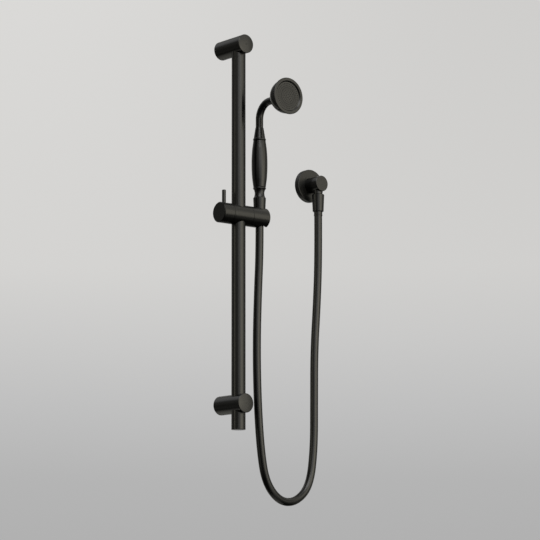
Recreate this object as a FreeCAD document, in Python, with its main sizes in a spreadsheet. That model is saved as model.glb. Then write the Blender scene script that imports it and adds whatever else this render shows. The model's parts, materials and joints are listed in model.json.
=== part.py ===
"""Wall-mounted shower slide rail with its slider, hand shower, hose and wall outlet.

Millimetres. The wall is the plane Y = 0, the front faces -Y and +Z is up.
The origin lies on the wall, midway between the two bracket fixings.
"""
import math
import os
from types import SimpleNamespace

import FreeCAD
import Part
import Sketcher
from FreeCAD import Placement, Rotation, Vector

doc = FreeCAD.newDocument("shower_slide_rail")

# Driving dimensions
SIZES = {
    # Rail
    "fixing_spacing": 644.0,
    "rail_standoff": 50.0,
    "rail_dia": 25.0,
    "rail_wall": 1.5,
    "rail_overhang": 45.5,
    "rail_insert": 9.0,
    "cap_thickness": 2.5,
    "cap_stem": 10.0,
    "cap_edge": 0.8,
    # Wall brackets
    "bracket_dia": 33.9,
    "bracket_reach": 71.0,
    "bracket_edge": 0.7,
    "bracket_crown": 1.2,
    "boss_dia": 26.0,
    "boss_length": 17.0,
    "bracket_bore_depth": 22.0,
    "wall_screw_dia": 5.2,
    "screw_head_dia": 11.0,
    "screw_head_depth": 8.0,
    "grub_dia": 5.0,
    "grub_offset": 9.0,
    "grub_recess": 0.5,
    "set_screw_dia": 6.0,
    "set_screw_length": 12.0,
    # Slider
    "slider_height": 13.7,
    "slider_dia": 36.6,
    "slider_body_length": 43.0,
    "seam_gap": 0.3,
    "seam_edge": 0.3,
    "end_edge": 1.2,
    "liner_wall": 1.8,
    "liner_recess": 0.3,
    "knob_length": 22.4,
    "spindle_dia": 8.0,
    "spindle_grip": 14.0,
    "pad_thickness": 2.4,
    "lock_washer_dia": 34.0,
    "lever_dia": 7.0,
    "lever_rise": 41.2,
    "lever_root": 8.0,
    "lever_edge": 0.8,
    # Holder
    "holder_length": 37.5,
    "socket_offset": 48.1,
    "slot_width": 15.0,
    "pivot_dia": 6.0,
    "pivot_head_dia": 10.0,
    "pivot_head_length": 4.0,
    "pivot_seat": 7.5,
    "pivot_tip_gap": 0.6,
    "spring_thickness": 0.8,
    "friction_washer_dia": 34.0,
    # Hose ends
    "nut_top_dia": 22.9,
    "nut_bottom_dia": 20.3,
    "nut_length": 32.5,
    "nut_edge": 0.9,
    "nut_rise": 36.7,
    "thread_dia": 18.7,
    "thread_depth": 12.0,
    "tail_flange": 2.0,
    "washer_thickness": 2.0,
    "ferrule_dia": 15.4,
    "ferrule_length": 7.4,
    "ferrule_ring_dia": 16.0,
    "ferrule_ring_length": 1.6,
    "waterway_dia": 8.0,
    "hose_dia": 14.2,
    # Hand shower
    "inner_tube_dia": 12.0,
    "tube_grip": 9.0,
    "collar_foot_dia": 20.8,
    "collar_foot_height": 0.4,
    "cove_height": 14.7,
    "cove_radius": 16.0,
    "lower_bead_height": 3.6,
    "upper_bead_height": 4.4,
    "bead_root_dia": 21.0,
    "bead_dia": 23.3,
    "handle_length": 85.2,
    "handle_edge": 0.6,
    "handle_end_dia": 22.4,
    "handle_shoulder_dia": 26.1,
    "handle_shoulder": 14.2,
    "handle_belly_radius": 308.0,
    "taper_height": 19.4,
    "taper_top_dia": 14.8,
    "neck_dia": 13.5,
    "neck_grip": 12.0,
    "neck_bend_radius": 28.8,
    "head_rise": 208.5,
    "head_reach": 82.0,
    "bell_collar_dia": 17.8,
    "bell_collar_length": 4.4,
    "bell_root_dia": 22.0,
    "bell_root_rise": 0.6,
    "bell_mouth_dia": 62.0,
    "bell_length": 35.0,
    "bell_radius": 31.0,
    "bell_wall": 2.4,
    "ledge_dia": 51.0,
    "rim_dia": 65.8,
    "rim_thickness": 3.0,
    "rim_edge": 1.0,
    "lip_dia": 51.2,
    "lip_length": 2.3,
    "lip_bevel": 2.1,
    "plate_dia": 56.4,
    "plate_thickness": 2.2,
    "ring_spigot_dia": 59.0,
    "head_seal_thickness": 1.2,
    "nozzle_dia": 1.4,
    "nozzle_ring_step": 3.7,
    # Wall outlet
    "outlet_offset": 203.6,
    "outlet_height": 97.9,
    "flange_dia": 60.9,
    "flange_depth": 10.2,
    "flange_wall": 2.4,
    "flange_edge": 1.2,
    "stub_dia": 29.0,
    "stub_reach": 41.5,
    "stub_edge": 0.8,
    "inlet_dia": 18.6,
    "inlet_depth": 15.0,
    "outlet_reach": 30.0,
    "outlet_drop": 19.3,
    "outlet_neck_dia": 16.4,
    "valve_dia": 13.0,
    "valve_length": 11.0,
    "valve_bore_dia": 6.0,
    "flange_seal_width": 2.2,
    "flange_seal_height": 2.0,
    # Clearances
    "fit_gap": 0.05,
    "running_gap": 0.08,
    "loose_gap": 0.15,
}
NOZZLES_PER_RING = (6, 12, 18, 36, 36, 36)
# How far a cutting tool runs past the face that it opens
OVERCUT = 1.0
# Corners of the hose between its two ferrules, chosen by hand
HOSE_CORNERS = [
    (48.1, -50, -49),
    (44, -50, -124),
    (41, -50, -217),
    (43, -50, -312),
    (51.5, -48, -400),
    (64.5, -46, -457),
    (99, -43, -489),
    (141, -38, -488),
    (176.8, -34, -458),
    (189, -32, -390),
    (191.5, -30, -304),
    (192.5, -30, -211),
    (199.3, -30, -126),
    (203.6, -30, -41),
]
# Share of the shorter run that each bend of the hose takes
BEND_SHARE = 0.45

# Ways to turn a piece's own Z axis
UP = Rotation()
FRONT = Rotation(Vector(1, 0, 0), 90)
RIGHT = Rotation(Vector(0, 1, 0), 90)
LEFT = Rotation(Vector(0, 1, 0), -90)
BACK_TO_FRONT = Rotation(Vector(0, 0, 1), 180)

nodes = {}


class Size:
    """A length with its number and the spreadsheet expression that gives it."""

    def __init__(self, value, text):
        self.value = value
        self.text = text

    def __add__(self, other):
        return Size(self.value + number(other), f"({self.text} + {text(other)})")

    def __sub__(self, other):
        return Size(self.value - number(other), f"({self.text} - {text(other)})")

    def __mul__(self, other):
        return Size(self.value * number(other), f"({self.text} * {text(other)})")

    def __truediv__(self, other):
        return Size(self.value / number(other), f"({self.text} / {text(other)})")

    def __neg__(self):
        return Size(-self.value, f"(0 - {self.text})")


def number(length):
    return length.value if isinstance(length, Size) else float(length)


def text(length):
    return length.text if isinstance(length, Size) else str(length)


def make_sheet():
    """Write the driving dimensions into a spreadsheet and return them by name."""
    sheet = doc.addObject("Spreadsheet::Sheet", "Sizes")
    for row, (name, value) in enumerate(SIZES.items(), start=1):
        sheet.set(f"A{row}", name)
        sheet.set(f"B{row}", str(value))
        sheet.setAlias(f"B{row}", name)
    doc.recompute()
    return SimpleNamespace(**{name: Size(value, f"Sizes.{name}") for name, value in SIZES.items()})


# General builders
def place(item, base, turn=UP):
    item.Placement = Placement(Vector(*[number(length) for length in base]), turn)
    for axis, length in zip("xyz", base):
        if isinstance(length, Size):
            item.setExpression(f"Placement.Base.{axis}", length.text)
    return item


def bind(item, **lengths):
    for name, length in lengths.items():
        setattr(item, name, number(length))
        if isinstance(length, Size):
            item.setExpression(name, length.text)


def cylinder(label, radius, length, base, turn=UP):
    solid = doc.addObject("Part::Cylinder", label)
    bind(solid, Radius=radius, Height=length)
    return place(solid, base, turn)


def cut(label, blank, *tools):
    """Take every tool away from the blank."""
    tool = tools[0]
    if len(tools) > 1:
        tool = doc.addObject("Part::MultiFuse", f"{label}_tools")
        tool.Shapes = list(tools)
    result = doc.addObject("Part::Cut", label)
    result.Base = blank
    result.Tool = tool
    return result


def group(label, *solids):
    result = doc.addObject("Part::Compound", label)
    result.Links = list(solids)
    return result


def new_sketch(body, name, plane):
    sketch = body.newObject("Sketcher::SketchObject", name)
    support = [feature for feature in body.Origin.OriginFeatures if feature.Role == plane][0]
    sketch.AttachmentSupport = (support, [""])
    sketch.MapMode = "FlatFace"
    return sketch


def tie(sketch, kind, place_in_sketch, length):
    """Add one dimension to a sketch and bind it to the sheet."""
    index = sketch.addConstraint(Sketcher.Constraint(kind, *place_in_sketch, number(length)))
    if isinstance(length, Size):
        sketch.setExpression(f"Constraints[{index}]", length.text)


def tie_corner(sketch, edge, end, corner):
    """Hold one end of an edge at its corner, on an axis where the coordinate is zero."""
    for kind, axis, length in (("DistanceX", -2, corner[0]), ("DistanceY", -1, corner[1])):
        if isinstance(length, Size):
            tie(sketch, kind, (-1, 1, edge, end), length)
        else:
            sketch.addConstraint(Sketcher.Constraint("PointOnObject", edge, end, axis))


def arc_between(start, end, radius):
    """Arc from start to end: it turns left if the radius is positive, right if it is negative."""
    chord = end - start
    rise = math.sqrt(radius ** 2 - (chord.Length / 2) ** 2)
    left = Vector(-chord.y, chord.x, 0).normalize()
    centre = (start + end) * 0.5 + left * math.copysign(rise, radius)
    first, last = (start, end) if radius > 0 else (end, start)
    angles = [math.atan2(point.y - centre.y, point.x - centre.x) for point in (first, last)]
    circle = Part.Circle(centre, Vector(0, 0, 1), abs(radius))
    return Part.ArcOfCircle(circle, *angles)


def draw(sketch, corners, closed=True):
    """Draw lines between corners (x, y), or an arc into a corner (x, y, radius)."""
    points = [Vector(number(corner[0]), number(corner[1]), 0) for corner in corners]
    first = 0 if closed else 1
    ends = []
    for index in range(first, len(corners)):
        bend = corners[index][2] if len(corners[index]) > 2 else None
        if bend is None:
            edge = sketch.addGeometry(Part.LineSegment(points[index - 1], points[index]))
            ends.append((edge, 1, 2))
            continue
        radius = number(bend)
        edge = sketch.addGeometry(arc_between(points[index - 1], points[index], radius))
        ends.append((edge, 1, 2) if radius > 0 else (edge, 2, 1))
        tie(sketch, "Radius", (edge,), bend if radius > 0 else -bend)
    if not closed:
        tie_corner(sketch, ends[0][0], ends[0][1], corners[0])
    for index, (edge, start, end) in enumerate(ends):
        tie_corner(sketch, edge, end, corners[index + first])
        following = ends[(index + 1) % len(ends)]
        if closed or index + 1 < len(ends):
            sketch.addConstraint(Sketcher.Constraint("Coincident", edge, end, following[0], following[1]))


def turned(label, corners, base, turn=UP):
    """A lathe-turned piece: its half section (radius, height) revolved about its own Z axis."""
    body = doc.addObject("PartDesign::Body", label)
    sketch = new_sketch(body, f"{label}_section", "XZ_Plane")
    draw(sketch, corners)
    spin = body.newObject("PartDesign::Revolution", f"{label}_revolved")
    spin.Profile = sketch
    spin.ReferenceAxis = (sketch, ["V_Axis"])
    spin.Angle = 360
    return place(body, base, turn)


def ring(label, inner, outer, height, base, turn=UP):
    return turned(label, [(inner, 0), (outer, 0), (outer, height), (inner, height)], base, turn)


def rod(radius, length, near_edge, far_edge):
    """Half section of a solid rod with a chamfer at each end."""
    return [
        (0, 0),
        (radius - near_edge, 0),
        (radius, near_edge),
        (radius, length - far_edge),
        (radius - far_edge, length),
        (0, length),
    ]


def bored_rod(radius, length, near_edge, far_edge, bore, depth):
    """Half section of a rod with a blind bore from its near end."""
    return [(bore, 0)] + rod(radius, length, near_edge, far_edge)[1:] + [(0, depth), (bore, depth)]


def arc_over(chord, rise):
    """Radius of the arc that stands a given rise above its chord."""
    return (chord * chord / 4 + rise * rise) / (rise * 2)


s = make_sheet()

# Places that several pieces share
rail_r = s.rail_dia / 2
rail_y = -s.rail_standoff
upper_z = s.fixing_spacing / 2
lower_z = -upper_z
rail_foot_z = lower_z - s.rail_overhang
slider_z = s.slider_height + 0
slider_r = s.slider_dia / 2
body_half = s.slider_body_length / 2
seam_x = body_half + s.seam_gap
liner_r = rail_r + s.running_gap + s.liner_wall
thread_r = s.thread_dia / 2
waterway_r = s.waterway_dia / 2
spigot_length = s.thread_depth - s.tail_flange - s.washer_thickness
hand_nut_z = slider_z + s.nut_rise
outlet_nut_z = s.outlet_height - s.outlet_drop


# Rail and its end cap
def make_rail():
    inner = rail_r - s.rail_wall
    length = s.fixing_spacing + s.rail_overhang + s.rail_insert - s.cap_thickness
    nodes["rail_tube"] = ring("rail_tube", inner, rail_r, length, (0, rail_y, rail_foot_z + s.cap_thickness))
    stem = inner - s.fit_gap
    top = s.cap_thickness + s.cap_stem
    section = [
        (0, 0),
        (rail_r - s.cap_edge, 0),
        (rail_r, s.cap_edge, s.cap_edge),
        (rail_r, s.cap_thickness),
        (stem, s.cap_thickness),
        (stem, top),
        (0, top),
    ]
    nodes["rail_end_cap"] = turned("rail_end_cap", section, (0, rail_y, rail_foot_z))


# Wall brackets, the bosses inside them and their screws
def make_bracket(name, height, socket_top):
    """Turned bar with a crowned face over a wall boss; the rail's socket is open below, up to socket_top."""
    bracket_r = s.bracket_dia / 2
    boss_r = s.boss_dia / 2
    bore_r = boss_r + s.fit_gap
    face_r = bracket_r - s.bracket_edge
    section = [
        (bore_r, 0),
        (face_r, 0),
        (bracket_r, s.bracket_edge),
        (bracket_r, s.bracket_reach - s.bracket_edge),
        (face_r, s.bracket_reach),
        (0, s.bracket_reach + s.bracket_crown, arc_over(face_r * 2, s.bracket_crown)),
        (0, s.bracket_bore_depth),
        (bore_r, s.bracket_bore_depth),
    ]
    blank = turned(f"{name}_bracket_blank", section, (0, 0, height), FRONT)
    below = height - bracket_r - OVERCUT
    rail_hole = cylinder(f"{name}_rail_hole", rail_r + s.fit_gap, socket_top - below, (0, rail_y, below))
    grub_hole = cylinder(
        f"{name}_grub_hole", s.grub_dia / 2 + s.fit_gap, height - below, (0, -s.grub_offset, below)
    )
    set_hole_start = s.bracket_bore_depth - OVERCUT
    set_hole = cylinder(
        f"{name}_set_hole",
        s.set_screw_dia / 2 + s.fit_gap,
        s.rail_standoff - set_hole_start,
        (0, -set_hole_start, height),
        FRONT,
    )
    nodes[f"{name}_bracket"] = cut(f"{name}_bracket", blank, rail_hole, grub_hole, set_hole)

    hole_r = s.wall_screw_dia / 2
    head_r = s.screw_head_dia / 2
    head_floor = s.boss_length - s.screw_head_depth
    boss = [
        (hole_r, 0),
        (boss_r, 0),
        (boss_r, s.boss_length),
        (head_r, s.boss_length),
        (head_r, head_floor),
        (hole_r, head_floor),
    ]
    nodes[f"{name}_wall_boss"] = turned(f"{name}_wall_boss", boss, (0, 0, height), FRONT)

    grub_length = bracket_r - s.grub_recess - boss_r - s.fit_gap
    grub_base = height - bracket_r + s.grub_recess
    grub = cylinder(f"{name}_grub", s.grub_dia / 2, grub_length, (0, -s.grub_offset, grub_base))
    set_tip = s.rail_standoff - rail_r - s.fit_gap
    set_base = set_tip - s.set_screw_length
    set_screw = cylinder(
        f"{name}_set_screw", s.set_screw_dia / 2, s.set_screw_length, (0, -set_base, height), FRONT
    )
    return grub, set_screw


def make_brackets():
    upper = make_bracket("upper", upper_z, upper_z + s.rail_insert)
    lower = make_bracket("lower", lower_z, lower_z + s.bracket_dia / 2 + OVERCUT)
    nodes["bracket_grub_screws"] = group("bracket_grub_screws", upper[0], lower[0])
    nodes["rail_set_screws"] = group("rail_set_screws", upper[1], lower[1])


# Slider: liner, middle body, lock on the left, holder on the right
def make_slider_body():
    # The liner's ends follow the body's round surface, a little below it
    liner_tube = ring(
        "slider_liner_tube", rail_r + s.running_gap, liner_r, s.slider_dia, (0, rail_y, slider_z - slider_r)
    )
    liner_form = cylinder(
        "slider_liner_form",
        slider_r - s.liner_recess,
        s.slider_body_length,
        (-body_half, rail_y, slider_z),
        RIGHT,
    )
    liner = doc.addObject("Part::Common", "slider_liner")
    liner.Base = liner_tube
    liner.Tool = liner_form
    nodes["slider_liner"] = liner
    section = rod(slider_r, s.slider_body_length, s.seam_edge, s.seam_edge)
    blank = turned("slider_body_blank", section, (-body_half, rail_y, slider_z), RIGHT)
    below = slider_z - slider_r - OVERCUT
    bore = cylinder(
        "slider_rail_bore", liner_r + s.running_gap, s.slider_dia + 2 * OVERCUT, (0, rail_y, below)
    )
    side_length = body_half + OVERCUT
    lock_bore = cylinder(
        "slider_lock_bore", s.spindle_dia / 2 + s.fit_gap, side_length, (0, rail_y, slider_z), LEFT
    )
    pivot_bore = cylinder(
        "slider_pivot_bore", s.pivot_dia / 2 + s.fit_gap, side_length, (0, rail_y, slider_z), RIGHT
    )
    nodes["slider_body"] = cut("slider_body", blank, bore, lock_bore, pivot_bore)


def make_lock():
    spindle_r = s.spindle_dia / 2
    pad_face = liner_r + s.loose_gap
    pad_back = pad_face + s.pad_thickness
    pad_blank = cylinder(
        "brake_pad_blank", spindle_r, s.pad_thickness + spindle_r, (-pad_back, rail_y, slider_z), RIGHT
    )
    below = slider_z - slider_r
    pad_hollow = cylinder("brake_pad_hollow", pad_face, s.slider_dia, (0, rail_y, below))
    nodes["brake_pad"] = cut("brake_pad", pad_blank, pad_hollow)
    nodes["lock_washer"] = ring(
        "lock_washer",
        spindle_r + s.loose_gap,
        s.lock_washer_dia / 2,
        s.seam_gap,
        (-body_half, rail_y, slider_z),
        LEFT,
    )
    section = bored_rod(
        slider_r, s.knob_length, s.seam_edge, s.end_edge, spindle_r + s.fit_gap, s.spindle_grip
    )
    blank = turned("lock_knob_blank", section, (-seam_x, rail_y, slider_z), LEFT)
    lever_x = -(seam_x + s.knob_length / 2)
    lever_z = slider_z + s.lever_root
    lever_hole = cylinder(
        "lever_hole", s.lever_dia / 2 + s.fit_gap, slider_r, (lever_x, rail_y, lever_z)
    )
    nodes["lock_knob"] = cut("lock_knob", blank, lever_hole)
    lever = rod(s.lever_dia / 2, s.lever_rise - s.lever_root, s.lever_edge, s.lever_edge)
    nodes["lock_lever"] = turned("lock_lever", lever, (lever_x, rail_y, lever_z))
    spindle_length = seam_x + s.spindle_grip - pad_back
    nodes["lock_spindle"] = cylinder(
        "lock_spindle", spindle_r, spindle_length, (-(seam_x + s.spindle_grip), rail_y, slider_z), RIGHT
    )


def make_holder():
    section = rod(slider_r, s.holder_length, s.seam_edge, s.end_edge)
    blank = turned("holder_blank", section, (seam_x, rail_y, slider_z), RIGHT)
    below = slider_z - slider_r - OVERCUT
    depth = s.slider_dia + 2 * OVERCUT
    # The socket is the nut's own cone, with a gap all round
    taper = (s.nut_top_dia - s.nut_bottom_dia) / (s.nut_length * 2)
    nut_bottom_z = hand_nut_z - s.nut_length
    socket_bottom_r = s.nut_bottom_dia / 2 + s.loose_gap - (nut_bottom_z - below) * taper
    socket = doc.addObject("Part::Cone", "holder_socket")
    bind(socket, Radius1=socket_bottom_r, Radius2=socket_bottom_r + depth * taper, Height=depth)
    place(socket, (s.socket_offset, rail_y, below))
    slot = doc.addObject("Part::Box", "holder_slot")
    bind(slot, Length=seam_x + s.holder_length + OVERCUT - s.socket_offset, Width=s.slot_width, Height=depth)
    place(slot, (s.socket_offset, rail_y - s.slot_width / 2, below))
    pivot_hole = cylinder(
        "holder_pivot_hole",
        s.pivot_dia / 2 + s.running_gap,
        s.socket_offset - body_half,
        (body_half, rail_y, slider_z),
        RIGHT,
    )
    seat_x = seam_x + s.pivot_seat
    head_hole = cylinder(
        "holder_head_hole",
        s.pivot_head_dia / 2 + s.loose_gap * 2,
        s.socket_offset - seat_x,
        (seat_x, rail_y, slider_z),
        RIGHT,
    )
    nodes["holder"] = cut("holder", blank, socket, slot, pivot_hole, head_hole)
    make_pivot(seat_x)


def make_pivot(seat_x):
    """Bolt and spring that press the holder on the slider body through a friction washer."""
    pivot_r = s.pivot_dia / 2
    head_r = s.pivot_head_dia / 2
    nodes["friction_washer"] = ring(
        "friction_washer",
        pivot_r + s.loose_gap,
        s.friction_washer_dia / 2,
        s.seam_gap,
        (body_half, rail_y, slider_z),
        RIGHT,
    )
    nodes["pivot_spring"] = ring(
        "pivot_spring", pivot_r + s.loose_gap, head_r, s.spring_thickness, (seat_x, rail_y, slider_z), RIGHT
    )
    tip_x = liner_r + s.running_gap + s.pivot_tip_gap
    shank = seat_x + s.spring_thickness - tip_x
    bolt = [
        (0, 0),
        (pivot_r, 0),
        (pivot_r, shank),
        (head_r, shank),
        (head_r, shank + s.pivot_head_length),
        (0, shank + s.pivot_head_length),
    ]
    nodes["pivot_bolt"] = turned("pivot_bolt", bolt, (tip_x, rail_y, slider_z), RIGHT)


# Conical nut, crimped ferrule and washer at one end of the hose
def make_hose_end(name, x, y, nut_top):
    nut_base = nut_top - s.nut_length
    bore = thread_r + s.fit_gap
    ferrule_r = s.ferrule_dia / 2
    tail_bore = ferrule_r + s.fit_gap
    top_r = s.nut_top_dia / 2
    bottom_r = s.nut_bottom_dia / 2
    shoulder = s.nut_length - s.thread_depth
    nut = [
        (tail_bore, 0),
        (bottom_r - s.nut_edge, 0),
        (bottom_r, s.nut_edge),
        (top_r, s.nut_length - s.nut_edge),
        (top_r - s.nut_edge, s.nut_length),
        (bore, s.nut_length),
        (bore, shoulder),
        (tail_bore, shoulder),
    ]
    nodes[f"{name}_hose_nut"] = turned(f"{name}_hose_nut", nut, (x, y, nut_base))

    flange_r = thread_r - s.loose_gap
    ring_r = s.ferrule_ring_dia / 2
    ring_top = s.ferrule_ring_length + (ring_r - ferrule_r)
    flange_base = s.ferrule_length + shoulder
    ferrule = [
        (waterway_r, 0),
        (ring_r, 0),
        (ring_r, s.ferrule_ring_length),
        (ferrule_r, ring_top),
        (ferrule_r, flange_base),
        (flange_r, flange_base),
        (flange_r, flange_base + s.tail_flange),
        (waterway_r, flange_base + s.tail_flange),
    ]
    nodes[f"{name}_ferrule"] = turned(f"{name}_ferrule", ferrule, (x, y, nut_base - s.ferrule_length))
    washer_z = nut_top - s.thread_depth + s.tail_flange
    nodes[f"{name}_washer"] = ring(
        f"{name}_washer", waterway_r, flange_r, s.washer_thickness, (x, y, washer_z)
    )


# Hand shower
def make_handle():
    axis = (s.socket_offset, rail_y)
    tube_r = s.inner_tube_dia / 2
    tube_hole = tube_r + s.fit_gap
    bead_root = s.bead_root_dia / 2
    bead_rise = s.bead_dia / 2 - bead_root
    foot_r = s.collar_foot_dia / 2
    foot_top = spigot_length + s.collar_foot_height
    cove_top = foot_top + s.cove_height
    collar_top = cove_top + s.lower_bead_height
    lower_collar = [
        (waterway_r, 0),
        (thread_r, 0),
        (thread_r, spigot_length),
        (foot_r, spigot_length),
        (foot_r, foot_top),
        (bead_root, cove_top, -s.cove_radius),
        (bead_root, collar_top, arc_over(s.lower_bead_height, bead_rise)),
        (tube_hole, collar_top),
        (tube_hole, collar_top - s.tube_grip),
        (waterway_r, collar_top - s.tube_grip),
    ]
    collar_z = hand_nut_z - spigot_length
    nodes["lower_collar"] = turned("lower_collar", lower_collar, (*axis, collar_z))

    handle_z = collar_z + collar_top
    end_r = s.handle_end_dia / 2
    shoulder_r = s.handle_shoulder_dia / 2
    grip = [
        (tube_hole, 0),
        (end_r - s.handle_edge, 0),
        (end_r, s.handle_edge),
        (shoulder_r, s.handle_shoulder),
        (shoulder_r, s.handle_length - s.handle_shoulder, s.handle_belly_radius),
        (end_r, s.handle_length - s.handle_edge),
        (end_r - s.handle_edge, s.handle_length),
        (tube_hole, s.handle_length),
    ]
    nodes["handle_grip"] = turned("handle_grip", grip, (*axis, handle_z))
    tube_length = s.handle_length + s.tube_grip * 2
    nodes["inner_tube"] = ring("inner_tube", waterway_r, tube_r, tube_length, (*axis, handle_z - s.tube_grip))

    neck_hole = s.neck_dia / 2 + s.fit_gap
    taper_top = s.upper_bead_height + s.taper_height
    neck_seat = taper_top - s.neck_grip
    upper_collar = [
        (tube_hole, 0),
        (bead_root, 0),
        (bead_root, s.upper_bead_height, arc_over(s.upper_bead_height, bead_rise)),
        (s.taper_top_dia / 2, taper_top),
        (neck_hole, taper_top),
        (neck_hole, neck_seat),
        (tube_hole, neck_seat),
    ]
    handle_top_z = handle_z + s.handle_length
    nodes["upper_collar"] = turned("upper_collar", upper_collar, (*axis, handle_top_z))
    make_neck(handle_top_z + neck_seat)


def make_neck(neck_z):
    """Bent tube from the upper collar to the bell, swept along a line, an arc and a line."""
    body = doc.addObject("PartDesign::Body", "neck_tube")
    path = new_sketch(body, "neck_path", "YZ_Plane")
    rise = slider_z + s.head_rise - neck_z
    bend = s.neck_bend_radius
    reach = s.head_reach - s.rim_thickness - s.bell_length + s.bell_collar_length
    draw(path, [(0, 0), (0, rise - bend), (bend, rise, -bend), (reach, rise)], closed=False)
    section = new_sketch(body, "neck_section", "XY_Plane")
    for radius in (s.neck_dia / 2, waterway_r):
        edge = section.addGeometry(Part.Circle(Vector(0, 0, 0), Vector(0, 0, 1), number(radius)))
        section.addConstraint(Sketcher.Constraint("Coincident", edge, 3, -1, 1))
        tie(section, "Radius", (edge,), radius)
    pipe = body.newObject("PartDesign::AdditivePipe", "neck_bent")
    pipe.Profile = section
    pipe.Spine = path
    nodes["neck_tube"] = place(body, (s.socket_offset, rail_y, neck_z), BACK_TO_FRONT)


def make_head():
    axis_z = slider_z + s.head_rise
    front = s.rail_standoff + s.head_reach
    ring_back = front - s.rim_thickness
    mouth_r = s.bell_mouth_dia / 2
    collar_r = s.bell_collar_dia / 2
    neck_hole = s.neck_dia / 2 + s.fit_gap
    spigot_r = s.ring_spigot_dia / 2
    plate_r = s.plate_dia / 2
    lip_back = s.rim_thickness - s.lip_length
    pocket_depth = s.plate_thickness + s.head_seal_thickness - lip_back
    spigot = s.plate_thickness - lip_back
    root = s.bell_collar_length + s.bell_root_rise
    root_r = s.bell_root_dia / 2
    root_cove = root_r - collar_r
    cavity_floor = root + s.bell_wall
    bell = [
        (neck_hole, 0),
        (collar_r - s.bell_root_rise, 0),
        (collar_r, s.bell_root_rise),
        (collar_r, root - root_cove),
        (root_r, root, -root_cove),
        (mouth_r, s.bell_length, s.bell_radius),
        (spigot_r + s.fit_gap, s.bell_length),
        (spigot_r + s.fit_gap, s.bell_length - pocket_depth),
        (s.ledge_dia / 2, s.bell_length - pocket_depth),
        (root_r, cavity_floor, -(s.bell_radius - s.bell_wall)),
        (neck_hole, cavity_floor),
    ]
    bell_y = -(ring_back - s.bell_length)
    nodes["head_bell"] = turned("head_bell", bell, (s.socket_offset, bell_y, axis_z), FRONT)

    rim_r = s.rim_dia / 2
    lip_r = s.lip_dia / 2
    bore_r = plate_r + s.fit_gap
    total = spigot + s.rim_thickness
    face_ring = [
        (bore_r, 0),
        (spigot_r, 0),
        (spigot_r, spigot),
        (rim_r - s.rim_edge, spigot),
        (rim_r, spigot + s.rim_edge, s.rim_edge),
        (rim_r, total - s.rim_edge),
        (rim_r - s.rim_edge, total, s.rim_edge),
        (lip_r + s.lip_bevel, total),
        (lip_r, total - s.lip_bevel),
        (lip_r, total - s.lip_length),
        (bore_r, total - s.lip_length),
    ]
    ring_place = (s.socket_offset, -(ring_back - spigot), axis_z)
    nodes["face_ring"] = turned("face_ring", face_ring, ring_place, FRONT)
    plate_back = front - s.lip_length - s.plate_thickness
    make_spray_plate(plate_r, (s.socket_offset, -plate_back, axis_z))
    nodes["head_seal"] = ring(
        "head_seal",
        s.ledge_dia / 2,
        plate_r,
        s.head_seal_thickness,
        (s.socket_offset, -(plate_back - s.head_seal_thickness), axis_z),
        FRONT,
    )


def make_spray_plate(plate_r, base):
    """Disc with rings of nozzle holes."""
    body = doc.addObject("PartDesign::Body", "spray_plate")
    disc = new_sketch(body, "plate_disc", "XY_Plane")
    edge = disc.addGeometry(Part.Circle(Vector(0, 0, 0), Vector(0, 0, 1), number(plate_r)))
    disc.addConstraint(Sketcher.Constraint("Coincident", edge, 3, -1, 1))
    tie(disc, "Radius", (edge,), plate_r)
    pad = body.newObject("PartDesign::Pad", "plate_pad")
    pad.Profile = disc
    bind(pad, Length=s.plate_thickness)
    for index, count in enumerate(NOZZLES_PER_RING, start=1):
        holes = new_sketch(body, f"nozzles_{index}", "XY_Plane")
        ring_r = s.nozzle_ring_step * index
        hole_r = s.nozzle_dia / 2
        hole = Part.Circle(Vector(number(ring_r), 0, 0), Vector(0, 0, 1), number(hole_r))
        edge = holes.addGeometry(hole)
        tie(holes, "Radius", (edge,), hole_r)
        tie_corner(holes, edge, 3, (ring_r, 0))
        pocket = body.newObject("PartDesign::Pocket", f"nozzle_pocket_{index}")
        pocket.Profile = holes
        pocket.Type = "ThroughAll"
        pocket.Reversed = True
        pattern = body.newObject("PartDesign::PolarPattern", f"nozzle_ring_{index}")
        pattern.Originals = [pocket]
        pattern.Axis = (holes, ["N_Axis"])
        pattern.Angle = 360
        pattern.Occurrences = count
        body.Tip = pattern
    nodes["spray_plate"] = place(body, base, FRONT)


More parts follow.
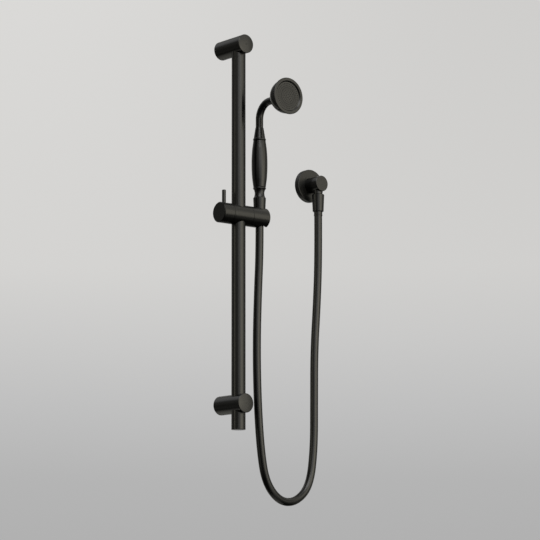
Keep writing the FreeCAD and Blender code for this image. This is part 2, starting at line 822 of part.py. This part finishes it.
# Wall outlet
def make_outlet():
    stub_r = s.stub_dia / 2
    flange_r = s.flange_dia / 2
    hole_r = stub_r + s.loose_gap
    inside_r = flange_r - s.flange_wall
    inside_top = s.flange_depth - s.flange_wall
    wall_place = (s.outlet_offset, 0, s.outlet_height)
    flange = [
        (inside_r, 0),
        (flange_r, 0),
        (flange_r, s.flange_depth - s.flange_edge),
        (flange_r - s.flange_edge, s.flange_depth, s.flange_edge),
        (hole_r, s.flange_depth),
        (hole_r, inside_top),
        (inside_r, inside_top),
    ]
    nodes["elbow_flange"] = turned("elbow_flange", flange, wall_place, FRONT)
    seal_base = inside_top - s.flange_seal_height
    nodes["flange_seal"] = ring(
        "flange_seal",
        stub_r + s.fit_gap,
        stub_r + s.flange_seal_width,
        s.flange_seal_height,
        (s.outlet_offset, -seal_base, s.outlet_height),
        FRONT,
    )

    inlet_r = s.inlet_dia / 2
    passage_end = s.outlet_reach + waterway_r
    stub = [
        (inlet_r, 0),
        (stub_r, 0),
        (stub_r, s.stub_reach - s.stub_edge),
        (stub_r - s.stub_edge, s.stub_reach),
        (0, s.stub_reach),
        (0, passage_end),
        (waterway_r, passage_end),
        (waterway_r, s.inlet_depth),
        (inlet_r, s.inlet_depth),
    ]
    stub_blank = turned("elbow_stub", stub, wall_place, FRONT)
    spigot_z = outlet_nut_z - spigot_length
    drop = s.outlet_height - spigot_z
    neck_r = s.outlet_neck_dia / 2
    outlet_place = (s.outlet_offset, -s.outlet_reach)
    outlet = [
        (0, 0),
        (thread_r, 0),
        (thread_r, spigot_length),
        (neck_r, spigot_length),
        (neck_r, drop),
        (0, drop),
    ]
    outlet_blank = turned("elbow_outlet", outlet, (*outlet_place, spigot_z))
    passage = cylinder("elbow_stub_passage", waterway_r, passage_end, wall_place, FRONT)
    drop_hole = cylinder("elbow_drop_passage", waterway_r, drop, (*outlet_place, spigot_z))
    valve_hole = cylinder(
        "elbow_valve_hole", s.valve_dia / 2 + s.fit_gap, s.valve_length, (*outlet_place, spigot_z)
    )
    blank = doc.addObject("Part::Fuse", "elbow_blank")
    blank.Base = stub_blank
    blank.Tool = outlet_blank
    nodes["elbow_body"] = cut("elbow_body", blank, passage, drop_hole, valve_hole)
    nodes["check_valve"] = ring(
        "check_valve", s.valve_bore_dia / 2, s.valve_dia / 2, s.valve_length, (*outlet_place, spigot_z)
    )


# Hose: straight runs joined by tangent arcs, from ferrule to ferrule
def rounded_path(corners):
    """Wire through the corners, each rounded by the largest bend that its runs allow."""
    edges = []
    start = corners[0]
    for before, corner, after in zip(corners, corners[1:], corners[2:]):
        back = before - corner
        ahead = after - corner
        reach = BEND_SHARE * min(back.Length, ahead.Length)
        back.normalize()
        ahead.normalize()
        half_turn = (math.pi - back.getAngle(ahead)) / 2
        radius = reach / math.tan(half_turn)
        inward = (back + ahead).normalize()
        centre = corner + inward * (radius / math.cos(half_turn))
        first = corner + back * reach
        last = corner + ahead * reach
        edges.append(Part.LineSegment(start, first).toShape())
        edges.append(Part.Arc(first, centre - inward * radius, last).toShape())
        print(f"hose bend radius {radius:.0f}")
        start = last
    edges.append(Part.LineSegment(start, corners[-1]).toShape())
    return Part.Wire(edges)


def make_hose():
    drop = s.nut_length + s.ferrule_length
    top = Vector(*map(number, (s.socket_offset, rail_y, hand_nut_z - drop)))
    end = Vector(*map(number, (s.outlet_offset, -s.outlet_reach, outlet_nut_z - drop)))
    path = rounded_path([top] + [Vector(*corner) for corner in HOSE_CORNERS] + [end])
    radius = number(s.hose_dia) / 2
    section = Part.Wire(Part.Circle(top, Vector(0, 0, 1), radius).toShape())
    solid = path.makePipeShell([section], True, False)
    hose = doc.addObject("Part::Feature", "hose")
    hose.Shape = solid
    nodes["hose"] = hose
    expected = math.pi * radius ** 2 * path.Length
    print(f"hose length {path.Length:.1f} mm, volume {solid.Volume:.0f} of {expected:.0f} mm3")


def check_and_export():
    doc.recompute()
    for item in doc.Objects:
        if "Invalid" in item.State or "Error" in item.State:
            raise RuntimeError(f"{item.Label} failed: {item.State}")
    for name, item in nodes.items():
        if item.Shape.isNull() or not item.Shape.isValid():
            raise RuntimeError(f"{name} has no valid shape")
    os.makedirs("parts", exist_ok=True)
    for name, item in nodes.items():
        item.Shape.exportStep(f"parts/{name}.step")
        print(f"{name}: {len(item.Shape.Solids)} solid(s), {item.Shape.Volume:.0f} mm3")


make_rail()
make_brackets()
make_slider_body()
make_lock()
make_holder()
make_hose_end("hand", s.socket_offset, rail_y, hand_nut_z)
make_hose_end("wall", s.outlet_offset, -s.outlet_reach, outlet_nut_z)
make_handle()
make_head()
make_outlet()
make_hose()
check_and_export()
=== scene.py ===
"""Looks of the wall-mounted shower slide rail: camera, hose, satin black finish and studio light.

Metres, in the part's own frame: the wall is Y = 0, the front faces -Y and +Z is up.
"""
import json
import math

import bpy
from mathutils import Matrix, Vector


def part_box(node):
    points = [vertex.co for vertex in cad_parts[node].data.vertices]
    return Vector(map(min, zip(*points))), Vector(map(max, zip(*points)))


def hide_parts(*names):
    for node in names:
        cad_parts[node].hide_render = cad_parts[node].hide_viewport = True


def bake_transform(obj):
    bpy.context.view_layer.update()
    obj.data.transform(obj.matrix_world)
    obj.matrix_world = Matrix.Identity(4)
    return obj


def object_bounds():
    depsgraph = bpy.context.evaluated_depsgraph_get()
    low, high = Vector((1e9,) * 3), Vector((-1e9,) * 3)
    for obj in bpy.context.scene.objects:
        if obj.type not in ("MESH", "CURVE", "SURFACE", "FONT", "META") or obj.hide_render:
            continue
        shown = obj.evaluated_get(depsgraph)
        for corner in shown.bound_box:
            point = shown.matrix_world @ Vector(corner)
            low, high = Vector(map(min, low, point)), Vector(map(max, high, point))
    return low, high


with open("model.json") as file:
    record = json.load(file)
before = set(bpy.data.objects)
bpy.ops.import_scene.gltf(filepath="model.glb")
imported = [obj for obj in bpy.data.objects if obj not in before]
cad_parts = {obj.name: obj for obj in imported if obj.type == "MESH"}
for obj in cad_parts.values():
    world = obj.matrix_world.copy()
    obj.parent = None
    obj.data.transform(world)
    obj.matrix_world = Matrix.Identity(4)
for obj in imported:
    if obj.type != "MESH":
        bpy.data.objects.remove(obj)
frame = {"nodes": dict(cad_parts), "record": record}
cad_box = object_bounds()
nodes = frame["nodes"]

# Camera: left of the rail and a little below it, looking up with a long lens
CAMERA_PLACE = Vector((-2.3846, -3.0259, -0.6979))
CAMERA_YAW = math.radians(39.540)
CAMERA_PITCH = math.radians(9.127)
CAMERA_ROLL = math.radians(-0.103)
LENS_MM = 145.9
SENSOR_MM = 36.0
CLIP_NEAR = 0.1
CLIP_FAR = 200.0

# Hose: its corners between the two ferrules, as in the part's source
HOSE_DIA = 0.0146
HOSE_CORNERS = [
    (0.0481, -0.050, -0.049),
    (0.0440, -0.050, -0.124),
    (0.0410, -0.050, -0.217),
    (0.0430, -0.050, -0.312),
    (0.0515, -0.048, -0.400),
    (0.0645, -0.046, -0.457),
    (0.0990, -0.043, -0.489),
    (0.1410, -0.038, -0.488),
    (0.1768, -0.034, -0.458),
    (0.1890, -0.032, -0.390),
    (0.1915, -0.030, -0.304),
    (0.1925, -0.030, -0.211),
    (0.1993, -0.030, -0.126),
    (0.2036, -0.030, -0.041),
]
HOSE_STEPS_PER_CORNER = 16
HOSE_SIDES = 32
# Lengths of the hose's first two stretches, from the hand shower down, named for its tilt and the
# slider's swivel
TILT_STRETCH = 0.095
SWIVEL_STRETCH = 0.110


def make_camera():
    """Camera at the photograph's viewing angle."""
    data = bpy.data.cameras.new("camera")
    data.lens = LENS_MM
    data.sensor_width = SENSOR_MM
    data.clip_start = CLIP_NEAR
    data.clip_end = CLIP_FAR
    camera = bpy.data.objects.new("camera", data)
    turn = Matrix.Rotation(-CAMERA_YAW, 4, "Z")
    tip = Matrix.Rotation(math.pi / 2 + CAMERA_PITCH, 4, "X")
    roll = Matrix.Rotation(CAMERA_ROLL, 4, "Z")
    camera.matrix_world = Matrix.Translation(CAMERA_PLACE) @ turn @ tip @ roll
    bpy.context.scene.collection.objects.link(camera)
    bpy.context.scene.camera = camera


# Hose
def middle_of_foot(node):
    """Middle of a node's lowest face, where the hose comes out of a ferrule."""
    low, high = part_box(node)
    return Vector(((low.x + high.x) / 2, (low.y + high.y) / 2, low.z))


def hose_line():
    """Points along the hose's smooth line, from the hand shower to the wall outlet."""
    route = [middle_of_foot("hand_ferrule"), *map(Vector, HOSE_CORNERS), middle_of_foot("wall_ferrule")]
    curve = bpy.data.curves.new("hose_route", "CURVE")
    curve.dimensions = "3D"
    spline = curve.splines.new("NURBS")
    spline.points.add(len(route) - 1)
    for point, place in zip(spline.points, route):
        point.co = (*place, 1)
    spline.order_u = 3
    spline.use_endpoint_u = True
    spline.resolution_u = HOSE_STEPS_PER_CORNER
    holder = bpy.data.objects.new("hose_route", curve)
    mesh = bpy.data.meshes.new_from_object(holder)
    line = [vertex.co.copy() for vertex in mesh.vertices]
    bpy.data.meshes.remove(mesh)
    bpy.data.objects.remove(holder)
    bpy.data.curves.remove(curve)
    return line


def distances_along(line):
    """Distance from the start of the line to each of its points."""
    along = [0.0]
    for before, after in zip(line, line[1:]):
        along.append(along[-1] + (after - before).length)
    return along


def first_past(along, distance):
    """Index of the first point that lies at least a distance along the line."""
    return next(index for index, reached in enumerate(along) if reached >= distance)


def directions_along(line):
    """Unit direction of the line at each of its points."""
    steps = [(after - before).normalized() for before, after in zip(line, line[1:])]
    middles = [(before + after).normalized() for before, after in zip(steps, steps[1:])]
    return [steps[0], *middles, steps[-1]]


def tube(name, line, directions, radius):
    """Closed tube with one ring of corners at each point of the line."""
    corners = []
    side = Vector((1, 0, 0))
    for place, along in zip(line, directions):
        side = (side - along * side.dot(along)).normalized()
        across = along.cross(side)
        for index in range(HOSE_SIDES):
            angle = 2 * math.pi * index / HOSE_SIDES
            corners.append(place + radius * (side * math.cos(angle) + across * math.sin(angle)))
    faces = []
    for ring in range(len(line) - 1):
        start = ring * HOSE_SIDES
        for index in range(HOSE_SIDES):
            following = (index + 1) % HOSE_SIDES
            low, high = start + index, start + following
            faces.append((low, high, high + HOSE_SIDES, low + HOSE_SIDES))
    walls = len(faces)
    last = (len(line) - 1) * HOSE_SIDES
    faces.append(tuple(reversed(range(HOSE_SIDES))))
    faces.append(tuple(range(last, last + HOSE_SIDES)))
    mesh = bpy.data.meshes.new(name)
    mesh.from_pydata(corners, [], faces)
    mesh.polygons.foreach_set("use_smooth", [index < walls for index in range(len(faces))])
    sharp_ends = {edge for cap in mesh.polygons[walls:] for edge in cap.edge_keys}
    for edge in mesh.edges:
        edge.use_edge_sharp = edge.key in sharp_ends
    piece = bpy.data.objects.new(name, mesh)
    bpy.context.scene.collection.objects.link(piece)
    return piece


def make_hose():
    """Three stretches of the hose end to end, cut at the tilt and swivel lengths and named for the
    joints they span: tilt, swivel and slide.
    """
    line = hose_line()
    along = distances_along(line)
    directions = directions_along(line)
    tilt_end = first_past(along, TILT_STRETCH)
    swivel_end = first_past(along, TILT_STRETCH + SWIVEL_STRETCH)
    end = len(line) - 1
    stretches = [
        ("hose_top", 0, tilt_end, "hand_shower", "slider", ["hand_ferrule", "hand_hose_nut"]),
        ("hose_upper", tilt_end, swivel_end, "slider", "carriage", []),
        ("hose_loop", swivel_end, end, "carriage", "wall_set", ["wall_ferrule", "wall_hose_nut"]),
    ]
    pieces = []
    for name, first, last, upper_body, lower_body, fittings in stretches:
        path = line[first : last + 1]
        piece = tube(name, path, directions[first : last + 1], HOSE_DIA / 2)
        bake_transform(piece)
        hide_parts("hose")
        pieces.append(piece)
    return pieces


make_camera()
hose = make_hose()

# Finishes: the range of a noise that holds most of it, and how a finish uses its two noises
NOISE_MIDDLE = (0.3, 0.7)
CLOUDS_PER_GRAIN = 60
CLOUD_DETAIL = 2.0
GRAIN_DETAIL = 3.0
RELIEF_STRENGTH = 0.3
DEEP_BLACK = (0.0010, 0.0010, 0.0010)
SOFT_BLACK = (0.0014, 0.0014, 0.0013)


def new_material(name):
    """Material with one plain shader, and its node tree."""
    material = bpy.data.materials.new(name)
    material.use_nodes = True
    tree = material.node_tree
    tree.nodes.clear()
    output = tree.nodes.new("ShaderNodeOutputMaterial")
    shader = tree.nodes.new("ShaderNodeBsdfPrincipled")
    tree.links.new(shader.outputs["BSDF"], output.inputs["Surface"])
    return material, tree, shader


def add_noise(tree, size, detail):
    """Noise whose grain is about the given size, fixed to the piece."""
    place = tree.nodes.new("ShaderNodeTexCoord")
    noise = tree.nodes.new("ShaderNodeTexNoise")
    noise.inputs["Scale"].default_value = 1 / size
    noise.inputs["Detail"].default_value = detail
    tree.links.new(place.outputs["Object"], noise.inputs["Vector"])
    return noise.outputs["Fac"]


def spread_values(tree, factor, low, high):
    """Turn the middle of a noise's range into values from low to high."""
    spread = tree.nodes.new("ShaderNodeMapRange")
    spread.inputs["From Min"].default_value = NOISE_MIDDLE[0]
    spread.inputs["From Max"].default_value = NOISE_MIDDLE[1]
    spread.inputs["To Min"].default_value = low
    spread.inputs["To Max"].default_value = high
    tree.links.new(factor, spread.inputs["Value"])
    return spread.outputs["Result"]


def mix_colours(tree, factor, first, second):
    """Turn the middle of a noise's range into colours from the first to the second."""
    ramp = tree.nodes.new("ShaderNodeValToRGB")
    for stop, position, colour in zip(ramp.color_ramp.elements, NOISE_MIDDLE, (first, second)):
        stop.position = position
        stop.color = (*colour, 1)
    tree.links.new(factor, ramp.inputs["Fac"])
    return ramp.outputs["Color"]


def add_bump(tree, shader, factor, depth):
    """Shallow relief of the given depth on the shader's surface."""
    bump = tree.nodes.new("ShaderNodeBump")
    bump.inputs["Distance"].default_value = depth
    bump.inputs["Strength"].default_value = RELIEF_STRENGTH
    tree.links.new(factor, bump.inputs["Height"])
    tree.links.new(bump.outputs["Normal"], shader.inputs["Normal"])


def coating(name, dark, light, rough, grain, relief, metallic=0.0, specular=0.5):
    """Finish with a fine grain: two close tones, uneven gloss and a shallow relief."""
    material, tree, shader = new_material(name)
    clouds = add_noise(tree, grain * CLOUDS_PER_GRAIN, CLOUD_DETAIL)
    fine = add_noise(tree, grain, GRAIN_DETAIL)
    tree.links.new(mix_colours(tree, clouds, dark, light), shader.inputs["Base Color"])
    tree.links.new(spread_values(tree, clouds, *rough), shader.inputs["Roughness"])
    add_bump(tree, shader, fine, relief)
    shader.inputs["Metallic"].default_value = metallic
    shader.inputs["Specular IOR Level"].default_value = specular
    return material


MATERIALS = {
    "black_metal": coating(
        "satin_black",
        dark=DEEP_BLACK,
        light=SOFT_BLACK,
        rough=(0.23, 0.26),
        grain=0.0004,
        relief=0.0000006,
    ),
    "black_plastic": coating(
        "matt_black",
        dark=(0.0012, 0.0012, 0.0012),
        light=(0.0017, 0.0017, 0.0016),
        rough=(0.27, 0.31),
        grain=0.0003,
        relief=0.0000008,
    ),
    "hose_cover": coating(
        "hose_black",
        dark=DEEP_BLACK,
        light=SOFT_BLACK,
        rough=(0.22, 0.25),
        grain=0.0005,
        relief=0.0000006,
        specular=0.56,
    ),
    "inner_plastic": coating(
        "natural_white",
        dark=(0.66, 0.65, 0.61),
        light=(0.72, 0.71, 0.68),
        rough=(0.40, 0.50),
        grain=0.0003,
        relief=0.00001,
    ),
    "bare_brass": coating(
        "turned_brass",
        dark=(0.58, 0.43, 0.18),
        light=(0.66, 0.51, 0.25),
        rough=(0.24, 0.34),
        grain=0.0003,
        relief=0.00001,
        metallic=1.0,
    ),
    "screw_steel": coating(
        "plain_steel",
        dark=(0.50, 0.50, 0.49),
        light=(0.58, 0.58, 0.57),
        rough=(0.28, 0.38),
        grain=0.0002,
        relief=0.00001,
        metallic=1.0,
    ),
    "seal_rubber": coating(
        "seal_rubber",
        dark=(0.018, 0.018, 0.018),
        light=(0.026, 0.026, 0.025),
        rough=(0.62, 0.75),
        grain=0.0003,
        relief=0.00002,
    ),
}
MATT_FLANGE = coating(
    "matt_flange",
    dark=DEEP_BLACK,
    light=SOFT_BLACK,
    rough=(0.34, 0.38),
    grain=0.0004,
    relief=0.0000006,
)

# Spray plate: dull soft rims round its nozzles, which lie on rings a step apart
NOZZLE_STEP = 0.0037
NOZZLE_RINGS = 6
INNER_RINGS = 3
NOZZLES_PER_INNER_RING = 6
NOZZLES_PER_OUTER_RING = 36
TIP_RADIUS = 0.0011
TIP_EDGE = 0.0002
TIP_ROUGH = 0.60
PLATE_SPECULAR = 0.53


def add_maths(tree, operation, *values):
    """One step of arithmetic on sockets and plain numbers."""
    step = tree.nodes.new("ShaderNodeMath")
    step.operation = operation
    for socket, value in zip(step.inputs, values):
        if isinstance(value, (int, float)):
            socket.default_value = value
        else:
            tree.links.new(value, socket)
    return step.outputs["Value"]


def add_length(tree, first, second):
    """Length of the line whose two parts at right angles are given."""
    squares = [add_maths(tree, "MULTIPLY", value, value) for value in (first, second)]
    return add_maths(tree, "SQRT", add_maths(tree, "ADD", *squares))


def nozzle_distance(tree, middle):
    """Distance in the plate's face from the nearest nozzle's axis."""
    place = tree.nodes.new("ShaderNodeTexCoord")
    split = tree.nodes.new("ShaderNodeSeparateXYZ")
    tree.links.new(place.outputs["Object"], split.inputs["Vector"])
    across = add_maths(tree, "SUBTRACT", split.outputs["X"], middle.x)
    upward = add_maths(tree, "SUBTRACT", split.outputs["Z"], middle.z)
    reach = add_length(tree, across, upward)
    ring = add_maths(tree, "ROUND", add_maths(tree, "DIVIDE", reach, NOZZLE_STEP))
    ring = add_maths(tree, "MINIMUM", add_maths(tree, "MAXIMUM", ring, 1), NOZZLE_RINGS)
    outer = add_maths(tree, "GREATER_THAN", ring, INNER_RINGS)
    inner_count = add_maths(tree, "MULTIPLY", ring, NOZZLES_PER_INNER_RING)
    missing = add_maths(tree, "SUBTRACT", NOZZLES_PER_OUTER_RING, inner_count)
    count = add_maths(tree, "MULTIPLY_ADD", outer, missing, inner_count)
    spacing = add_maths(tree, "DIVIDE", 2 * math.pi, count)
    turn = add_maths(tree, "ARCTAN2", upward, across)
    half_on = add_maths(tree, "ADD", turn, add_maths(tree, "DIVIDE", spacing, 2))
    nearest = add_maths(tree, "SNAP", half_on, spacing)
    aside = add_maths(tree, "MULTIPLY", add_maths(tree, "SUBTRACT", turn, nearest), reach)
    outward = add_maths(tree, "SUBTRACT", reach, add_maths(tree, "MULTIPLY", ring, NOZZLE_STEP))
    return add_length(tree, aside, outward)


def tipped_plate(plate):
    """The plate's finish with a dull soft rim round each nozzle."""
    material = MATERIALS["black_plastic"].copy()
    material.name = "plate_with_tips"
    tree = material.node_tree
    shader = next(node for node in tree.nodes if node.type == "BSDF_PRINCIPLED")
    low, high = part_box("spray_plate")
    middle = plate.matrix_world.inverted() @ ((low + high) / 2)
    dull = tree.nodes.new("ShaderNodeMapRange")
    dull.inputs["From Min"].default_value = TIP_RADIUS - TIP_EDGE
    dull.inputs["From Max"].default_value = TIP_RADIUS
    dull.inputs["To Min"].default_value = TIP_ROUGH
    tree.links.new(shader.inputs["Roughness"].links[0].from_socket, dull.inputs["To Max"])
    tree.links.new(nozzle_distance(tree, middle), dull.inputs["Value"])
    tree.links.new(dull.outputs["Result"], shader.inputs["Roughness"])
    shader.inputs["Specular IOR Level"].default_value = PLATE_SPECULAR
    return material


def dress_pieces():
    """Give every solid and the hose its slot's finish, and the spray plate and the flange their own."""
    slots = {part["node"]: part["material_slot"] for part in frame["record"]["subparts"]}
    finishes = [(nodes[name], slot) for name, slot in slots.items()]
    finishes += [(piece, "hose_cover") for piece in hose]
    for piece, slot in finishes:
        piece.data.materials.clear()
        piece.data.materials.append(MATERIALS[slot])
    plate = nodes["spray_plate"]
    plate.data.materials[0] = tipped_plate(plate)
    nodes["elbow_flange"].data.materials[0] = MATT_FLANGE


dress_pieces()

# Lamps: large soft panels round the part
LIGHT_AIM = Vector((0.06, -0.05, -0.05))
LIGHT_DISTANCE = 4.0
LAMPS = {
    # name: azimuth, elevation, width and height in degrees seen from the part, glow, colour
    "key": (14.5, 4, 28, 20, 0.90, (1.0, 0.93, 0.72)),
    "key_middle": (16, 6.5, 54, 39, 0.84, (1.0, 0.945, 0.78)),
    "key_wide": (8, 8, 90, 56, 0.47, (1.0, 0.97, 0.87)),
    "front_left": (-24, 10, 40, 26, 0.40, (0.90, 0.94, 1.0)),
    "middle_left": (-20, 25, 56, 24, 0.70, (1.0, 0.99, 0.96)),
    "high_left": (-27, 47, 40, 34, 2.4, (1.0, 1.0, 0.98)),
    "high_right": (20, 40, 50, 24, 0.52, (1.0, 0.98, 0.90)),
    "top": (0, 76, 36, 36, 0.6, (1.0, 1.0, 0.98)),
    "right": (42, 12, 30, 60, 0.11, (1.0, 0.90, 0.60)),
    "left": (-104, 7, 18, 20, 0.90, (1.0, 0.95, 0.75)),
}


def toward(azimuth, elevation):
    """Direction at an azimuth from the front, clockwise from above, and an elevation, in degrees."""
    turn, rise = math.radians(azimuth), math.radians(elevation)
    return Vector((math.sin(turn) * math.cos(rise), -math.cos(turn) * math.cos(rise), math.sin(rise)))


def make_lamp(name, azimuth, elevation, width, height, glow, colour):
    """Softbox of an even glow, of which 1 looks white, facing the part."""
    away = toward(azimuth, elevation)
    data = bpy.data.lights.new(name, "AREA")
    data.shape = "RECTANGLE"
    data.size = 2 * LIGHT_DISTANCE * math.tan(math.radians(width / 2))
    data.size_y = 2 * LIGHT_DISTANCE * math.tan(math.radians(height / 2))
    data.energy = glow * math.pi * data.size * data.size_y
    data.color = colour
    lamp = bpy.data.objects.new(name, data)
    lamp.location = LIGHT_AIM + away * LIGHT_DISTANCE
    lamp.rotation_mode = "QUATERNION"
    lamp.rotation_quaternion = away.to_track_quat("Z", "Y")
    lamp.visible_camera = False
    bpy.context.scene.collection.objects.link(lamp)


for lamp_name, lamp_values in LAMPS.items():
    make_lamp(lamp_name, *lamp_values)

# Backdrop: a pale patch of wall behind the part as the camera sees it, dimmer at its top right
WALL_MIDDLE = Vector(
    (
        math.sin(CAMERA_YAW) * math.cos(CAMERA_PITCH),
        math.cos(CAMERA_YAW) * math.cos(CAMERA_PITCH),
        math.sin(CAMERA_PITCH),
    )
)
WALL_RIGHT = Vector((math.cos(CAMERA_YAW), -math.sin(CAMERA_YAW), 0))
WALL_SIDE = SENSOR_MM / LENS_MM / 2
PALE_REACH = math.cos(math.radians(11))
DIM_REACH = math.cos(math.radians(32))
WALL_TONES = [
    # height of the direction above the horizon and its level of light
    (0.0, 0.434),
    (0.038, 0.440),
    (0.064, 0.459),
    (0.095, 0.521),
    (0.127, 0.592),
    (0.159, 0.660),
    (0.280, 0.704),
]
WALL_TINT = (1.0, 0.99, 0.97)
TINTED_HEIGHTS = (0.095, 0.159)
DIMMED_HEIGHTS = (0.120, 0.280)
RIGHT_DIMMING = 0.111
DIMMING_CURVE = 0.7

# Room round the backdrop: dark below, with lighter and darker patches
WARM = (1.0, 0.98, 0.88)
NEUTRAL = (1.0, 1.0, 0.99)
ROOM_TONES = [
    # height of the direction, 0 straight down and 1 straight up, and its level of light
    (0.22, 0.02),
    (0.30, 0.10),
    (0.36, 0.34),
    (0.43, 0.34),
    (0.54, 0.28),
    (0.65, 0.27),
    (0.85, 0.16),
]
ROOM_PATCHES = [
    # azimuth, elevation, reach in degrees where the patch is full and where it ends, level, tint
    (-155, 43, 8, 33, 0.63, NEUTRAL),
    (169, -45, 8, 31, 0.46, WARM),
    (-138, -7, 8, 24, 0.09, WARM),
    (-138, 18, 6, 18, 0.15, WARM),
    (-125, 32, 6, 22, 0.06, WARM),
    (-65, -12, 8, 24, 0.05, WARM),
    (-27, -11, 8, 24, 0.04, WARM),
    (-65, 36, 10, 33, 0.54, WARM),
    (82, -18, 8, 22, 0.16, WARM),
    (45, -20, 8, 24, 0.18, WARM),
    (12, -40, 10, 32, 0.25, WARM),
    (14, -23, 8, 20, 0.78, WARM),
    (82, 50, 8, 32, 0.68, WARM),
]


def tinted(level, tint):
    """Colour of a tint at a level of light."""
    return tuple(level * share for share in tint)


def share_between(value, low, high):
    """Share from 0 to 1 as the value goes from low to high."""
    return min(max((value - low) / (high - low), 0), 1)


def wall_tones(dimming):
    """Wall's colour by height, grey below and warmer above, its top dimmed by a share."""
    tones = []
    for height, level in WALL_TONES:
        warmth = share_between(height, *TINTED_HEIGHTS)
        tint = [1 - warmth * (1 - share) for share in WALL_TINT]
        dimmed = dimming * share_between(height, *DIMMED_HEIGHTS) ** DIMMING_CURVE
        tones.append((height, tinted(level * (1 - dimmed), tint)))
    return tones


def tone_ramp(tree, height, tones):
    """Colour by a height, from a list of heights and colours."""
    ramp = tree.nodes.new("ShaderNodeValToRGB")
    stops = ramp.color_ramp.elements
    while len(stops) < len(tones):
        stops.new(1.0)
    for stop, (position, colour) in zip(stops, tones):
        stop.position = position
        stop.color = (*colour, 1)
    tree.links.new(height, ramp.inputs["Fac"])
    return ramp.outputs["Color"]


def share_along(tree, direction, axis, low, high):
    """Share from 0 to 1 as the direction's part along an axis goes from low to high."""
    dot = tree.nodes.new("ShaderNodeVectorMath")
    dot.operation = "DOT_PRODUCT"
    dot.inputs[1].default_value = axis
    tree.links.new(direction, dot.inputs[0])
    share = tree.nodes.new("ShaderNodeMapRange")
    share.interpolation_type = "SMOOTHSTEP"
    share.inputs["From Min"].default_value = low
    share.inputs["From Max"].default_value = high
    tree.links.new(dot.outputs["Value"], share.inputs["Value"])
    return share.outputs["Result"]


def blend_tones(tree, factor, first, second):
    """Blend two colours, each a socket or a plain colour, by a factor."""
    mix = tree.nodes.new("ShaderNodeMix")
    mix.data_type = "RGBA"
    tree.links.new(factor, mix.inputs["Factor"])
    for name, value in (("A", first), ("B", second)):
        socket = next(item for item in mix.inputs if item.name == name and item.type == "RGBA")
        if isinstance(value, tuple):
            socket.default_value = (*value, 1)
        else:
            tree.links.new(value, socket)
    return next(item for item in mix.outputs if item.type == "RGBA")


def make_world():
    """Surroundings that the part mirrors: the backdrop, and the room with its patches."""
    world = bpy.data.worlds.new("world")
    bpy.context.scene.world = world
    world.use_nodes = True
    tree = world.node_tree
    tree.nodes.clear()
    output = tree.nodes.new("ShaderNodeOutputWorld")
    background = tree.nodes.new("ShaderNodeBackground")
    place = tree.nodes.new("ShaderNodeTexCoord")
    direction = place.outputs["Generated"]
    split = tree.nodes.new("ShaderNodeSeparateXYZ")
    tree.links.new(direction, split.inputs["Vector"])
    left = tone_ramp(tree, split.outputs["Z"], wall_tones(0))
    right = tone_ramp(tree, split.outputs["Z"], wall_tones(RIGHT_DIMMING))
    sideways = share_along(tree, direction, WALL_RIGHT, -WALL_SIDE, WALL_SIDE)
    near = share_along(tree, direction, WALL_MIDDLE, DIM_REACH, PALE_REACH)
    wall = blend_tones(tree, sideways, left, right)
    whole_height = tree.nodes.new("ShaderNodeMapRange")
    whole_height.inputs["From Min"].default_value = -1
    tree.links.new(split.outputs["Z"], whole_height.inputs["Value"])
    room_tones = [(height, tinted(level, WARM)) for height, level in ROOM_TONES]
    room = tone_ramp(tree, whole_height.outputs["Result"], room_tones)
    for azimuth, elevation, full, end, level, tint in ROOM_PATCHES:
        reach = [math.cos(math.radians(angle)) for angle in (end, full)]
        patch = share_along(tree, direction, toward(azimuth, elevation), *reach)
        room = blend_tones(tree, patch, room, tinted(level, tint))
    tree.links.new(blend_tones(tree, near, room, wall), background.inputs["Color"])
    tree.links.new(background.outputs["Background"], output.inputs["Surface"])


# Floor: a disc below the part, small enough not to be mirrored in the hose's loop
FLOOR_DROP = 0.60
FLOOR_RADIUS = 0.26
FLOOR_MIDDLE = (0.16, -0.05)
FLOOR_SIDES = 96


def make_floor():
    """Round pale floor below the part."""
    middle = Vector((*FLOOR_MIDDLE, cad_box[0].z - FLOOR_DROP))
    rim = []
    for index in range(FLOOR_SIDES):
        turn = 2 * math.pi * index / FLOOR_SIDES
        rim.append(middle + FLOOR_RADIUS * Vector((math.cos(turn), math.sin(turn), 0)))
    mesh = bpy.data.meshes.new("floor")
    mesh.from_pydata(rim, [], [tuple(range(FLOOR_SIDES))])
    paint = coating(
        "floor_paint",
        dark=(0.50, 0.50, 0.495),
        light=(0.54, 0.54, 0.535),
        rough=(0.85, 0.95),
        grain=0.01,
        relief=0.0001,
        specular=0.1,
    )
    floor = bpy.data.objects.new("floor", mesh)
    floor.data.materials.append(paint)
    bpy.context.scene.collection.objects.link(floor)


make_world()
make_floor()
bpy.context.scene.view_settings.view_transform = "Standard"
